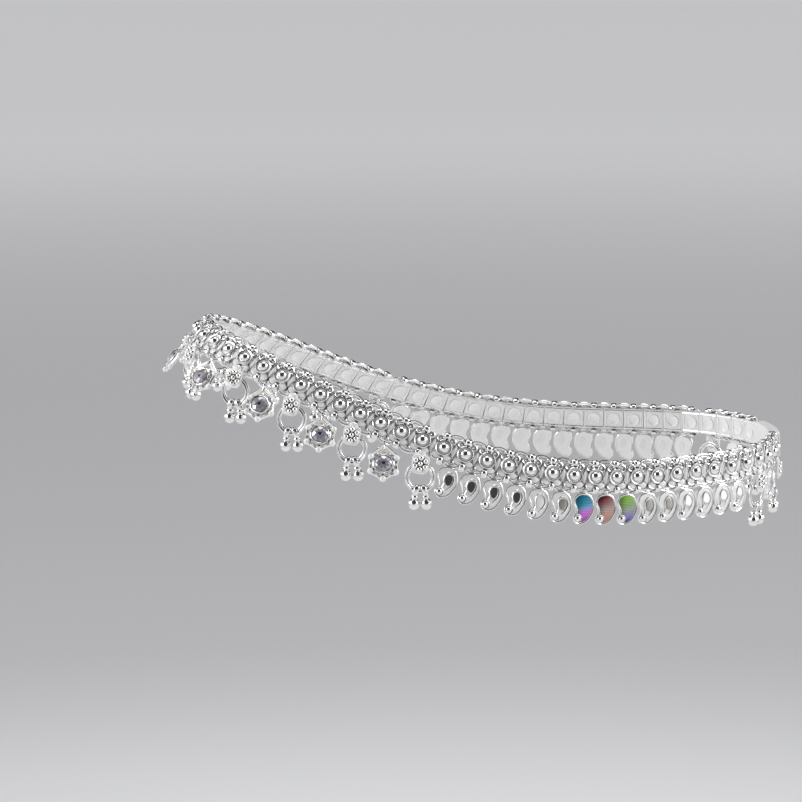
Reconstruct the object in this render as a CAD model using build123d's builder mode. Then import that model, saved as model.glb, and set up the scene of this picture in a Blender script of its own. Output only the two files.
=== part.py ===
from build123d import *
from bisect import bisect_right
from math import atan2, cos, pi, radians, sin, sqrt, tau
import os

# Payal: a silver ankle chain of button links, hung with stone-set flowers, pairs of bells and
# paisley drops. Millimetres, +Z up the leg, +X towards the heel, -Y towards the side that has
# the numbered near pieces. The origin is the middle of the ankle opening. The far half of the
# loop repeats the near half about the XZ plane.
os.makedirs("parts", exist_ok=True)

# ---- the loop ----
PITCH = 3.65  # from one button to the next
LOOP_LINKS = 71  # the loop's length in links, the clasp's three included
TOE_RADIUS, HEEL_RADIUS, SIDE_RADIUS = 18.0, 24.2, 76.5  # arcs of the loop seen from above
CENTRES_APART = 56.9  # between the centres of the toe arc and the heel arc
RISE = 0.213  # how much the loop climbs over the instep for each millimetre towards the toes
SADDLE, TWIST = 4.3, 0.1  # the sides dip by the first below the toe and heel ends
TOE_LEAN, HEEL_LEAN = radians(40), radians(2)  # how far the links face upwards
LOOP_STEPS = 4000

# ---- a link, in its own plane: x along the band, y up, z outwards from the band's face ----
RIBBON_HEIGHT, RIBBON_DEPTH = 3.8, 0.9
BUTTON_RADIUS, BUTTON_HEIGHT = 1.34, 0.45
RING_RADIUS, RING_WIRE = 1.22, 0.15
BEAD_RADIUS, BEAD_CENTRE = 0.9, 0.38
PETAL_AT = (PITCH / 4, 1.3)
PETAL_WIDTH, PETAL_HEIGHT, PETAL_DEPTH, PETAL_ROUND = 1.5, 1.25, 0.45, 0.55
POST_WIDTH, POST_OUT, POST_IN, POST_FRONT = 1.8, 2.55, 1.7, 0.3
SCALLOP_HALF, SCALLOP_FOOT, SCALLOP_PEAK, SCALLOP_WIRE = 1.3, 2.15, 2.62, 0.3
SCALLOP_DEPTH, SCALLOP_BACK = 0.35, -0.45
SUNK = 0.2  # how deep a soldered piece enters the one that carries it
SEAM = 0.12  # between one stretch of the band and the next

# ---- paisley drops, soldered below the scallops ----
PAISLEY_TOP = -2.85
PAISLEY_FALL = 0.45  # how far a paisley turns from square to the band towards plumb
NECK_WIDTH = 0.8
PAISLEY_BACK, PAISLEY_THICK = -0.55, 0.75
RIM_WIDTH, FIELD_DEPTH = 0.3, 0.32
CURL_AT, CURL_RADIUS = (-1.05, -4.02), 0.66
SEED_AT, SEED_SIZE = (0.2, -1.9), (1.4, 2.15)
INLAY_GAP = 0.05

# ---- flower drops ----
FLOWER_DROP = 3.8  # from the scallop's wire to the stone's centre
TIP_RADIUS, VALLEY_RADIUS, STAR_THICK, STAR_TIPS = 2.85, 2.28, 0.7, 6
FLOWER_STIFFNESS = 0.15  # how far a flower keeps square to the band where it would hang plumb
BEZEL_RADIUS, BEZEL_WALL, BEZEL_HEIGHT, SEAT_FLOOR = 1.42, 0.18, 1.05, 0.3
STONE_RADIUS, TABLE_RADIUS, STONE_HEIGHT, CROWN_HEIGHT = 1.38, 0.8, 0.95, 0.35
STONE_FACETS = 12
ROOF_TOP, ROOF_HALF, ROOF_BASE = -0.3, 2.5, -2.6
OPENING_TOP, OPENING_HALF = -0.95, 1.3
HOOK_INNER, HOOK_OUTER, HOOK_WIDTH = 0.33, 0.53, 0.25

# ---- ring drops: a granulated tab, a jump ring of two wires side by side and two bells ----
TAB_WIDTH, TAB_TOP, TAB_BOTTOM, TAB_BACK, TAB_THICK = 2.9, -2.3, -5.4, 0.5, 0.4
TAB_FALL = 0.6  # how far a tab turns from square to the band towards plumb
GRAIN_RADIUS, GRAIN_SPACING, GRAIN_CENTRE = 0.43, 0.94, -3.75
LOOP_AT, LOOP_INNER, LOOP_OUTER, LOOP_WIDTH = (-3.7, -0.1), 0.8, 1.06, 0.3
JUMP_RADIUS, JUMP_WIRE, JUMP_SPREAD = 2.15, 0.24, 0.18
EYE_INNER, EYE_WIRE, EYE_WIDTH, EYE_OFF = (1.0, 1.5), 0.24, 0.7, 0.68
EYE_SLACK, LOOP_SLACK = 0.24, 0.26
EYE_TURN, BELL_SPLAY = 10, 8
BELL_RADIUS, BELL_DROP, COLLAR_RADIUS = 0.97, 2.35, 0.58

# ---- the clasp ----
CLASP_HEIGHT, CLASP_DEPTH, CLASP_ROUND = 4.6, 2.0, 0.45

# ---- what hangs where, in pitches from the middle of the instep along the near side ----
FLOWERS = [3 * step for step in range(-4, 5)]
RINGS = [1.5, 4.5, 7.5, 10.5, 13.7, 30.5, 33.5]
PAISLEYS = list(range(15, 30)) + [32]
ENAMELLED = {"teal": (21, -23), "red": (22, -22), "green": (23, -21)}
STRETCHES = {
    "band_front": (-5, 5),
    "band_near_side": (5, 14),
    "band_near_paisleys": (14, 30),
    "band_near_back": (30, 34),
    "band_far_side": (-14, -5),
    "band_far_paisleys": (-30, -14),
    "band_far_back": (-34, -30),
}
CLASP_FROM, CLASP_TO = 34, 37
STRAIGHT_DOWN = Vector(0, 0, -1)


def plan_point(turn):
    """The loop from above and its height, for a share of its plan length from 0 to 1."""
    toe_x, heel_x = -CENTRES_APART / 2, CENTRES_APART / 2
    to_toe, to_heel = SIDE_RADIUS - TOE_RADIUS, SIDE_RADIUS - HEEL_RADIUS
    side_x = (to_toe**2 - to_heel**2) / (2 * CENTRES_APART)
    side_y = sqrt(to_toe**2 - (side_x - toe_x) ** 2)
    toe_end = atan2(side_y, side_x - toe_x)
    heel_start = pi - atan2(side_y, heel_x - side_x)
    toe_arc = TOE_RADIUS * toe_end
    side_arc = SIDE_RADIUS * (heel_start - toe_end)
    half = toe_arc + side_arc + HEEL_RADIUS * (pi - heel_start)
    along = min(turn, 1 - turn) * 2 * half
    if along < toe_arc:
        angle, radius, centre = along / TOE_RADIUS, TOE_RADIUS, (toe_x, 0)
    elif along < toe_arc + side_arc:
        angle = toe_end + (along - toe_arc) / SIDE_RADIUS
        radius, centre = SIDE_RADIUS, (side_x, side_y)
    else:
        angle = heel_start + (along - toe_arc - side_arc) / HEEL_RADIUS
        radius, centre = HEEL_RADIUS, (heel_x, 0)
    x = centre[0] - radius * cos(angle)
    y = radius * sin(angle) - centre[1]
    z = -RISE * x + SADDLE * cos(2 * tau * turn) + TWIST * cos(3 * tau * turn)
    return Vector(x, -y if turn < 0.5 else y, z)


loop = [plan_point(step / LOOP_STEPS) for step in range(LOOP_STEPS)]
loop.append(loop[0])
travel = [0.0]
for before, after in zip(loop, loop[1:]):
    travel.append(travel[-1] + (after - before).length)
loop_pitch = travel[-1] / LOOP_LINKS
print(f"loop {travel[-1]:.1f} mm, pitch {loop_pitch:.3f} mm")


def loop_at(pitches):
    """The point on the loop, and its share of the plan length, this many pitches on."""
    distance = (pitches * loop_pitch) % travel[-1]
    step = min(bisect_right(travel, distance) - 1, LOOP_STEPS - 1)
    share = (distance - travel[step]) / (travel[step + 1] - travel[step])
    return loop[step] + (loop[step + 1] - loop[step]) * share, (step + share) / LOOP_STEPS


def band_axes(pitches):
    """The band's centre there, with its directions along, up and outwards."""
    point, turn = loop_at(pitches)
    along = (loop_at(pitches + 0.15)[0] - loop_at(pitches - 0.15)[0]).normalized()
    outwards = along.cross(Vector(0, 0, 1)).normalized()
    up = outwards.cross(along)
    toe_share = (1 + cos(tau * turn)) / 2
    lean = TOE_LEAN * toe_share + HEEL_LEAN * (1 - toe_share)
    normal = outwards * cos(lean) + up * sin(lean)
    return point, along, normal.cross(along), normal


def band_plane(pitches):
    point, along, _, normal = band_axes(pitches)
    return Plane(origin=point, x_dir=along, z_dir=normal)


def hung_plane(pivot, normal, down):
    """A plane for a piece that hangs from pivot along down, facing normal."""
    down = down.normalized()
    face = (normal - down * normal.dot(down)).normalized()
    return Plane(origin=pivot, x_dir=face.cross(down), z_dir=face)


def surface_down(normal):
    """Straight down as far as the surface that faces this way lets it."""
    return (normal * normal.Z - Vector(0, 0, 1)).normalized()


def drop_plane(place, edge, fall):
    """The band's plane, turned about its edge this share of the way towards plumb."""
    carrier = band_plane(place)
    down = (STRAIGHT_DOWN * fall - carrier.y_dir * (1 - fall)).normalized()
    pivot = carrier.from_local_coords(Vector(0, edge, 0))
    return hung_plane(pivot + down * edge, carrier.z_dir, down)


# ---- shared shapes, each in its own plane ----
with BuildPart() as link_face:
    with Locations((0, 0, (BUTTON_HEIGHT - SUNK) / 2)):
        Cylinder(BUTTON_RADIUS, BUTTON_HEIGHT + SUNK)
    with Locations((0, 0, BUTTON_HEIGHT)):
        Torus(RING_RADIUS, RING_WIRE)
    with Locations((0, 0, BEAD_CENTRE)):
        Sphere(BEAD_RADIUS)
    with BuildSketch(Plane.XY.offset(-SUNK)):
        with GridLocations(2 * PETAL_AT[0], 2 * PETAL_AT[1], 2, 2):
            RectangleRounded(PETAL_WIDTH, PETAL_HEIGHT, PETAL_ROUND)
    extrude(amount=PETAL_DEPTH + SUNK)
    post_height = POST_OUT - POST_IN
    with GridLocations(0, POST_OUT + POST_IN, 1, 2):
        Box(POST_WIDTH, post_height, RIBBON_DEPTH, align=(Align.CENTER, Align.CENTER, Align.MAX))
        Box(POST_WIDTH, post_height, POST_FRONT, align=(Align.CENTER, Align.CENTER, Align.MIN))

with BuildPart() as scallops:
    with BuildSketch(Plane.XY.offset(SCALLOP_BACK)):
        with BuildLine(mode=Mode.PRIVATE) as lower_arc:
            ThreePointArc(
                (-SCALLOP_HALF, -SCALLOP_FOOT), (0, -SCALLOP_PEAK), (SCALLOP_HALF, -SCALLOP_FOOT)
            )
        with BuildLine(mode=Mode.PRIVATE) as upper_arc:
            ThreePointArc(
                (-SCALLOP_HALF, SCALLOP_FOOT), (0, SCALLOP_PEAK), (SCALLOP_HALF, SCALLOP_FOOT)
            )
        SlotArc(arc=lower_arc.edge(), height=SCALLOP_WIRE)
        SlotArc(arc=upper_arc.edge(), height=SCALLOP_WIRE)
    extrude(amount=SCALLOP_DEPTH)

with BuildSketch(mode=Mode.PRIVATE) as paisley_outline:
    with BuildLine():
        ThreePointArc((-1.1, -0.08), (0, 0.14), (1.1, -0.2))
        ThreePointArc((1.1, -0.2), (1.74, -1.95), (1.12, -3.75))
        ThreePointArc((1.12, -3.75), (0.3, -4.68), (-0.8, -5.0))
        ThreePointArc((-0.8, -5.0), (-1.76, -4.2), (-1.36, -3.15))
        ThreePointArc((-1.36, -3.15), (-1.36, -2.55), (-1.64, -1.85))
        ThreePointArc((-1.64, -1.85), (-1.68, -0.7), (-1.1, -0.08))
    make_face()

with BuildSketch(mode=Mode.PRIVATE) as paisley_field:
    add(paisley_outline.sketch)
    offset(amount=-RIM_WIDTH, kind=Kind.ARC)
    with Locations(CURL_AT):
        Circle(CURL_RADIUS + INLAY_GAP, mode=Mode.SUBTRACT)

with BuildSketch(mode=Mode.PRIVATE) as paisley_inlay:
    add(paisley_outline.sketch)
    offset(amount=-RIM_WIDTH - INLAY_GAP, kind=Kind.ARC)
    with Locations(CURL_AT):
        Circle(CURL_RADIUS + 3 * INLAY_GAP, mode=Mode.SUBTRACT)

paisley_front = PAISLEY_BACK + PAISLEY_THICK
paisley_lift = Plane(origin=(0, PAISLEY_TOP, PAISLEY_BACK))
with BuildPart() as enamelled_paisley:
    with BuildSketch(paisley_lift):
        add(paisley_outline.sketch)
    extrude(amount=PAISLEY_THICK)
    with BuildSketch(paisley_lift.offset(PAISLEY_THICK - FIELD_DEPTH)):
        add(paisley_field.sketch)
    extrude(amount=FIELD_DEPTH, mode=Mode.SUBTRACT)
    with Locations((CURL_AT[0], PAISLEY_TOP + CURL_AT[1], paisley_front)):
        Sphere(CURL_RADIUS)
    neck_top = -SCALLOP_PEAK - SCALLOP_WIRE / 4
    with Locations((0, neck_top, PAISLEY_BACK)):
        Box(
            NECK_WIDTH,
            neck_top - PAISLEY_TOP + SUNK / 2,
            SCALLOP_DEPTH + SUNK,
            align=(Align.CENTER, Align.MAX, Align.MIN),
        )

with BuildPart() as plain_paisley:
    add(enamelled_paisley.part)
    with BuildSketch(paisley_lift.offset(PAISLEY_THICK - FIELD_DEPTH - SUNK)):
        with Locations(SEED_AT):
            Ellipse(SEED_SIZE[0] / 2, SEED_SIZE[1] / 2)
    extrude(amount=FIELD_DEPTH + SUNK)

with BuildPart() as inlay:
    with BuildSketch(paisley_lift.offset(PAISLEY_THICK - FIELD_DEPTH + INLAY_GAP)):
        add(paisley_inlay.sketch)
    extrude(amount=FIELD_DEPTH - INLAY_GAP)

with BuildPart() as tab:
    with BuildSketch(Plane.XY.offset(TAB_BACK)):
        with Locations((0, (TAB_TOP + TAB_BOTTOM) / 2)):
            RectangleRounded(TAB_WIDTH, TAB_TOP - TAB_BOTTOM, TAB_WIDTH / 4)
    extrude(amount=TAB_THICK)
    with Locations((0, -POST_OUT + SUNK, -SUNK)):
        Box(
            POST_WIDTH - SUNK,
            4 * SUNK,
            TAB_BACK + 2 * SUNK,
            align=(Align.CENTER, Align.MAX, Align.MIN),
        )
    with Locations((0, GRAIN_CENTRE, TAB_BACK + TAB_THICK)):
        Sphere(GRAIN_RADIUS)
        with PolarLocations(GRAIN_SPACING, 6, start_angle=30):
            Sphere(GRAIN_RADIUS)
    loop_plane = Plane(
        origin=(-LOOP_WIDTH / 2, LOOP_AT[0], LOOP_AT[1]), x_dir=(0, 1, 0), z_dir=(1, 0, 0)
    )
    with BuildSketch(loop_plane):
        Circle(LOOP_OUTER)
        Circle(LOOP_INNER, mode=Mode.SUBTRACT)
    extrude(amount=LOOP_WIDTH)

# The flower's own plane has the scallop's wire at its origin.
with BuildPart() as flower:
    with BuildSketch():
        with BuildLine():
            Polyline((0, ROOF_TOP), (-ROOF_HALF, ROOF_BASE), (ROOF_HALF, ROOF_BASE), close=True)
        make_face()
        with BuildLine():
            Polyline(
                (0, OPENING_TOP), (-OPENING_HALF, ROOF_BASE), (OPENING_HALF, ROOF_BASE), close=True
            )
        make_face(mode=Mode.SUBTRACT)
        with BuildLine():
            star_points = []
            for corner in range(2 * STAR_TIPS):
                turn = corner * pi / STAR_TIPS
                radius = TIP_RADIUS if corner % 2 else VALLEY_RADIUS
                if corner == STAR_TIPS // 2:  # the roof stands in this tip's place
                    radius = BEZEL_RADIUS + BEZEL_WALL
                star_points.append((radius * cos(turn), radius * sin(turn) - FLOWER_DROP))
            Polyline(*star_points, close=True)
        make_face()
    extrude(amount=STAR_THICK)
    with Locations((0, -FLOWER_DROP, BEZEL_HEIGHT / 2)):
        Cylinder(BEZEL_RADIUS + BEZEL_WALL, BEZEL_HEIGHT)
    with Locations((0, -FLOWER_DROP, BEZEL_HEIGHT)):
        Cylinder(
            BEZEL_RADIUS,
            BEZEL_HEIGHT - SEAT_FLOOR,
            align=(Align.CENTER, Align.CENTER, Align.MAX),
            mode=Mode.SUBTRACT,
        )
    with BuildSketch(Plane(origin=(-HOOK_WIDTH / 2, 0, 0), x_dir=(0, 1, 0), z_dir=(1, 0, 0))):
        Circle(HOOK_OUTER)
    extrude(amount=HOOK_WIDTH)
    with BuildSketch(Plane(origin=(-ROOF_HALF, 0, 0), x_dir=(0, 1, 0), z_dir=(1, 0, 0))):
        Circle(HOOK_INNER)
    extrude(amount=2 * ROOF_HALF, mode=Mode.SUBTRACT)

with BuildPart() as stone:
    stone_base = SEAT_FLOOR + INLAY_GAP
    for height, radius in (
        (0, STONE_RADIUS / 4),
        (STONE_HEIGHT - CROWN_HEIGHT, STONE_RADIUS),
        (STONE_HEIGHT, TABLE_RADIUS),
    ):
        with BuildSketch(Plane.XY.offset(stone_base + height)):
            with Locations((0, -FLOWER_DROP)):
                RegularPolygon(radius, STONE_FACETS)
    loft(ruled=True)

# A ring's own plane has its hanging point at the origin, and a bell's the ring's wire.
jump_reach = JUMP_WIRE + JUMP_SPREAD
with BuildPart() as jump_ring:
    with Locations((0, -JUMP_RADIUS, 0)):
        Torus(JUMP_RADIUS - JUMP_SPREAD, JUMP_WIRE)
        Torus(JUMP_RADIUS + JUMP_SPREAD, JUMP_WIRE)

eye_drop = EYE_INNER[1] / 2 - jump_reach - EYE_SLACK
eye_outer = (EYE_INNER[0] + 2 * EYE_WIRE, EYE_INNER[1] + 2 * EYE_WIRE)
bells = {}
for side in (-1, 1):
    with BuildPart() as bell:
        eye_plane = Plane(origin=(0, -eye_drop, 0), x_dir=(0, 1, 0), z_dir=(1, 0, 0))
        with BuildSketch(Plane(eye_plane.location * Rot(side * EYE_TURN, 0, 0))):
            SlotOverall(eye_outer[1], eye_outer[0])
            SlotOverall(EYE_INNER[1], EYE_INNER[0], mode=Mode.SUBTRACT)
        extrude(amount=EYE_WIDTH / 2, both=True)
        collar_top = -eye_drop - eye_outer[1] / 2 + EYE_WIRE / 2
        with Locations((0, collar_top, 0)):
            Cylinder(
                COLLAR_RADIUS,
                BELL_DROP + collar_top,
                rotation=(90, 0, 0),
                align=(Align.CENTER, Align.CENTER, Align.MIN),
            )
        with Locations((0, -BELL_DROP, 0)):
            Sphere(BELL_RADIUS)
    bells[side] = bell.part


def save(piece, name):
    piece.label = name
    export_step(piece, f"parts/{name}.step")


# ---- the band ----
seam_share = SEAM / 2 / loop_pitch
both_rings = [-place for place in reversed(RINGS)] + RINGS
both_paisleys = [-place for place in reversed(PAISLEYS)] + PAISLEYS
enamelled_places = [place for pair in ENAMELLED.values() for place in pair]


def drops_within(places, start, end, edge, fall):
    return [drop_plane(place, edge, fall) for place in places if start < place < end]


for name, (start, end) in STRETCHES.items():
    with BuildPart() as band:
        for pitches in [start + seam_share, *range(start + 1, end), end - seam_share]:
            point, along, _, normal = band_axes(pitches)
            with BuildSketch(Plane(origin=point, x_dir=normal, z_dir=along)):
                with Locations((-RIBBON_DEPTH / 2, 0)):
                    Rectangle(RIBBON_DEPTH, RIBBON_HEIGHT)
        loft(ruled=True)
        with Locations(*[band_plane(link + 0.5) for link in range(start, end)]):
            add(link_face.part)
        with Locations(*[band_plane(link) for link in range(start + 1, end)]):
            add(scallops.part)
        tabs = drops_within(both_rings, start, end, -POST_OUT, TAB_FALL)
        if tabs:
            with Locations(*tabs):
                add(tab.part)
        plain_places = [place for place in both_paisleys if place not in enamelled_places]
        for places, drop in ((plain_places, plain_paisley), (enamelled_places, enamelled_paisley)):
            drops = drops_within(places, start, end, -SCALLOP_PEAK, PAISLEY_FALL)
            if drops:
                with Locations(*drops):
                    add(drop.part)
    save(band.part, name)

with BuildPart() as clasp:
    sections = 2 * (CLASP_TO - CLASP_FROM)
    for section in range(sections + 1):
        share = section / sections
        pitches = CLASP_FROM + seam_share + share * (CLASP_TO - CLASP_FROM - 2 * seam_share)
        point, along, _, normal = band_axes(pitches)
        with BuildSketch(Plane(origin=point, x_dir=normal, z_dir=along)):
            with Locations((CLASP_DEPTH / 2 - RIBBON_DEPTH, 0)):
                RectangleRounded(CLASP_DEPTH, CLASP_HEIGHT, CLASP_ROUND)
    loft(ruled=True)
save(clasp.part, "clasp")

# ---- enamel ----
for colour, places in ENAMELLED.items():
    for side, place in zip(("near", "far"), places):
        with BuildPart() as enamel:
            with Locations(drop_plane(place, -SCALLOP_PEAK, PAISLEY_FALL)):
                add(inlay.part)
        save(enamel.part, f"enamel_{side}_{colour}")

# ---- flowers ----
scallop_middle = Vector(0, -SCALLOP_PEAK, SCALLOP_BACK + SCALLOP_DEPTH / 2)
for number, place in enumerate(FLOWERS, start=1):
    carrier = band_plane(place)
    pivot = carrier.from_local_coords(scallop_middle)
    plumb, square = surface_down(carrier.z_dir), -carrier.y_dir
    down = plumb * (1 - FLOWER_STIFFNESS) + square * FLOWER_STIFFNESS
    hanging = hung_plane(pivot, carrier.z_dir, down)
    for name, shape in (("flower", flower), ("stone", stone)):
        with BuildPart() as hung:
            with Locations(hanging):
                add(shape.part)
        save(hung.part, f"{name}_{number}")

# ---- rings with their bells ----
ring_drop_below_loop = LOOP_INNER - jump_reach - LOOP_SLACK
for number, place in enumerate(both_rings, start=1):
    carrier = drop_plane(place, -POST_OUT, TAB_FALL)
    pivot = carrier.from_local_coords(Vector(0, LOOP_AT[0] - ring_drop_below_loop, LOOP_AT[1]))
    down = surface_down(carrier.z_dir) + STRAIGHT_DOWN * 2
    hanging = hung_plane(pivot, carrier.z_dir, down)
    with BuildPart() as ring_drop:
        with Locations(hanging):
            add(jump_ring.part)
        for side, bell_shape in bells.items():
            reach = sqrt(JUMP_RADIUS**2 - EYE_OFF**2)
            wire = hanging.from_local_coords(Vector(side * EYE_OFF, -JUMP_RADIUS - reach, 0))
            bell_plane = hung_plane(wire, hanging.z_dir, STRAIGHT_DOWN)
            with Locations(bell_plane.location * Rot(0, 0, side * BELL_SPLAY)):
                add(bell_shape)
    save(ring_drop.part, f"ring_drop_{number:02d}")
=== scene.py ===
"""The payal anklet's looks: each casting is built once in its own plane and set along the loop."""

from bisect import bisect_right
from math import atan2, cos, hypot, pi, radians, sin, sqrt, tau

import bmesh
import bpy
import numpy as np
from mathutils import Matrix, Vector


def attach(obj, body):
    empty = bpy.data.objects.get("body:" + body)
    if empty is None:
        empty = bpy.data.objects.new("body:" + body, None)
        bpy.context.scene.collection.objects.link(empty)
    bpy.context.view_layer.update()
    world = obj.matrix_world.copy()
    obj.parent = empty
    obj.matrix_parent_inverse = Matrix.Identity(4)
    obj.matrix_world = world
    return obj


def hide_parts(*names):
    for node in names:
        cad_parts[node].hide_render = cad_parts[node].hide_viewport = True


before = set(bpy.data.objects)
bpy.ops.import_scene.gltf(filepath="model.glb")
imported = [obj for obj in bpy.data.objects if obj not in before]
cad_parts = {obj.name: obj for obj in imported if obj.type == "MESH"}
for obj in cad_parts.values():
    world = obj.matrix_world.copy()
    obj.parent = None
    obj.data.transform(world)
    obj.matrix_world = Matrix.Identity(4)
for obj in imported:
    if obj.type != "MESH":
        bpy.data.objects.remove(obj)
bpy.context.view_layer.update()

MM = 0.001

# ---- the CAD's own sizes, in millimetres, and its angles ----
# The loop: how it is bent in plan, how it rises and dips, and how far it leans outwards.
PITCH, LOOP_LINKS = 3.65, 71
TOE_RADIUS, HEEL_RADIUS, SIDE_RADIUS, CENTRES_APART = 18.0, 24.2, 76.5, 56.9
RISE, SADDLE, TWIST = 0.213, 4.3, 0.1
TOE_LEAN, HEEL_LEAN = radians(40), radians(2)
LOOP_STEPS = 4000
# A link: y is up the band and z is outwards, from the plate's front.
BAND_HALF, LINK_SEAM, PLATE_BACK = 1.95, 0.06, -0.7
BUTTON_RADIUS, RIM_RADIUS, RIM_WIRE, RIM_TOP = 1.36, 1.22, 0.15, 0.46
BEAD_RADIUS, BEAD_FOOT, BEAD_HEIGHT = 0.9, 0.4, 0.78
PETAL_X, PETAL_LOW, PETAL_HIGH, PETAL_SPIN = 0.93, -1.5, 1.45, 12
SCALLOP_PEAK, SCALLOP_MIDDLE = 2.62, -0.275
# Where the charms hang, and how far their planes turn towards plumb.
POST_OUT, PAISLEY_FALL, TAB_FALL, FLOWER_STIFFNESS = 2.55, 0.45, 0.6, 0.15
PAISLEY_TOP, PAISLEY_BACK, PAISLEY_THICK = -2.85, -0.55, 0.75
PAISLEY_FRONT = PAISLEY_BACK + PAISLEY_THICK
SEED_AT, SEED_SIZE, SEED_LIFT, CURL_AT = (0.2, -1.9), (1.36, 2.1), radians(7), (-1.05, -4.02)
INLAY_INSETS = (0.17, 0.15)
FLOWER_DROP, POINT_RADIUS, NOTCH_RADIUS, ROOF_NOTCH = 3.8, 2.85, 2.28, 1.7
FLOWER_THICK, SEAT_RADIUS, SEAT_TOP = 0.4, 1.6, 0.94
STONE_RADIUS, TABLE_RADIUS, STONE_BASE = 1.33, 0.62, 0.4
TAB_BACK, TAB_THICK, GRAIN_RADIUS, GRAIN_CENTRE, GRAIN_SPACING = 0.5, 0.4, 0.47, -3.75, 0.94
LOOP_AT, LOOP_INNER, LOOP_OUTER = (-3.7, -0.1), 0.8, 1.06
JUMP_RADIUS, JUMP_WIRE, JUMP_SPREAD = 2.15, 0.24, 0.18
EYE_INNER, EYE_WIRE, EYE_OFF = (1.0, 1.5), 0.24, 0.68
EYE_SLACK, LOOP_SLACK, EYE_TURN, BELL_SPLAY = 0.24, 0.26, 10, 8
BELL_RADIUS, BELL_DROP, COLLAR_RADIUS = 0.97, 2.35, 0.62
CLASP_FROM, CLASP_TO, CLASP_SEAM = 34, 37, 0.06
CLASP_HEIGHT, CLASP_DEPTH, CLASP_TAPER = 4.6, 2.0, 0.12

# ---- what hangs where, in links from the middle of the instep, the far side's less than 0 ----
FLOWERS = [3 * step for step in range(-4, 5)]
RINGS = [1.5, 4.5, 7.5, 10.5, 13.7, 30.5, 33.5]
PAISLEYS = [*range(15, 30), 32]
ENAMELLED = {21: "teal", 22: "red", 23: "green"}
STRETCHES = {
    "band_front": (-5, 5),
    "band_near_side": (5, 14),
    "band_near_paisleys": (14, 30),
    "band_near_back": (30, 34),
    "band_far_side": (-14, -5),
    "band_far_paisleys": (-30, -14),
    "band_far_back": (-34, -30),
}

# ---- finishes, as the material slots of every silver piece ----
# PAINTED_SHADE is a near-black painted shade, set where shade falls in grooves, slits, dimples and gaps.
POLISHED, SATIN, SHADE, SOLDER, TARNISH, PAINTED_SHADE, BURNISHED, PAINTED_DIM = range(8)
SEED_PAINTED_TONES = {19: SHADE, 20: PAINTED_DIM, 24: PAINTED_DIM, 25: PAINTED_DIM}  # the plain ovals painted darker, in the shaded or dim silver, as painted reflection
PAINTED_GLINT, PAINTED_GREY, PAINTED_DARK = range(3)  # a stone's facets, painted bright, grey or dark as painted reflection
UP = np.array((0.0, 0.0, 1.0))


def unit(v):
    return v / np.linalg.norm(v)


def plan_point(turn):
    """The band's middle line at this share of the way round, from the middle of the instep."""
    toe_x, heel_x = -CENTRES_APART / 2, CENTRES_APART / 2
    to_toe, to_heel = SIDE_RADIUS - TOE_RADIUS, SIDE_RADIUS - HEEL_RADIUS
    side_x = (to_toe**2 - to_heel**2) / (2 * CENTRES_APART)
    side_y = sqrt(to_toe**2 - (side_x - toe_x) ** 2)
    toe_end = atan2(side_y, side_x - toe_x)
    heel_start = pi - atan2(side_y, heel_x - side_x)
    toe_arc = TOE_RADIUS * toe_end
    side_arc = SIDE_RADIUS * (heel_start - toe_end)
    half = toe_arc + side_arc + HEEL_RADIUS * (pi - heel_start)
    along = min(turn, 1 - turn) * 2 * half
    if along < toe_arc:
        angle, radius, centre = along / TOE_RADIUS, TOE_RADIUS, (toe_x, 0)
    elif along < toe_arc + side_arc:
        angle = toe_end + (along - toe_arc) / SIDE_RADIUS
        radius, centre = SIDE_RADIUS, (side_x, side_y)
    else:
        angle = heel_start + (along - toe_arc - side_arc) / HEEL_RADIUS
        radius, centre = HEEL_RADIUS, (heel_x, 0)
    x = centre[0] - radius * cos(angle)
    y = radius * sin(angle) - centre[1]
    z = -RISE * x + SADDLE * cos(2 * tau * turn) + TWIST * cos(3 * tau * turn)
    return np.array((x, -y if turn < 0.5 else y, z))


loop = [plan_point(step / LOOP_STEPS) for step in range(LOOP_STEPS)]
loop.append(loop[0])
travel = [0.0]
for before, after in zip(loop, loop[1:]):
    travel.append(travel[-1] + float(np.linalg.norm(after - before)))
loop_pitch = travel[-1] / LOOP_LINKS


def loop_at(pitches):
    """The point this many links from the instep, and its share of the way round."""
    distance = (pitches * loop_pitch) % travel[-1]
    step = min(bisect_right(travel, distance) - 1, LOOP_STEPS - 1)
    share = (distance - travel[step]) / (travel[step + 1] - travel[step])
    return loop[step] + (loop[step + 1] - loop[step]) * share, (step + share) / LOOP_STEPS


def plane(origin, x, z):
    """An own plane: where it is, and its x, y and z directions."""
    return origin, x, np.cross(z, x), z


def band_plane(pitches):
    """The band's plane here: x along it, y up it and z outwards, leant as the foot leans it."""
    point, turn = loop_at(pitches)
    along = unit(loop_at(pitches + 0.15)[0] - loop_at(pitches - 0.15)[0])
    outwards = unit(np.cross(along, UP))
    up = np.cross(outwards, along)
    toe_share = (1 + cos(tau * turn)) / 2
    lean = TOE_LEAN * toe_share + HEEL_LEAN * (1 - toe_share)
    return plane(point, along, outwards * cos(lean) + up * sin(lean))


def local(own_plane, x, y, z):
    origin, x_dir, y_dir, z_dir = own_plane
    return origin + x_dir * x + y_dir * y + z_dir * z


def hung_plane(pivot, normal, down):
    """A plane whose -y runs down from the pivot, and whose z faces as near to normal as it can."""
    down = unit(down)
    face = unit(normal - down * float(normal @ down))
    return plane(pivot, np.cross(face, down), face)


def surface_down(normal):
    """The way down the slope that has this normal."""
    return unit(normal * normal[2] - UP)


def drop_plane(place, edge, fall):
    """The band's plane, turned about its edge this share of the way towards plumb."""
    carrier = band_plane(place)
    down = unit(-UP * fall - carrier[2] * (1 - fall))
    return hung_plane(local(carrier, 0, edge, 0) + down * edge, carrier[3], down)


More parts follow.
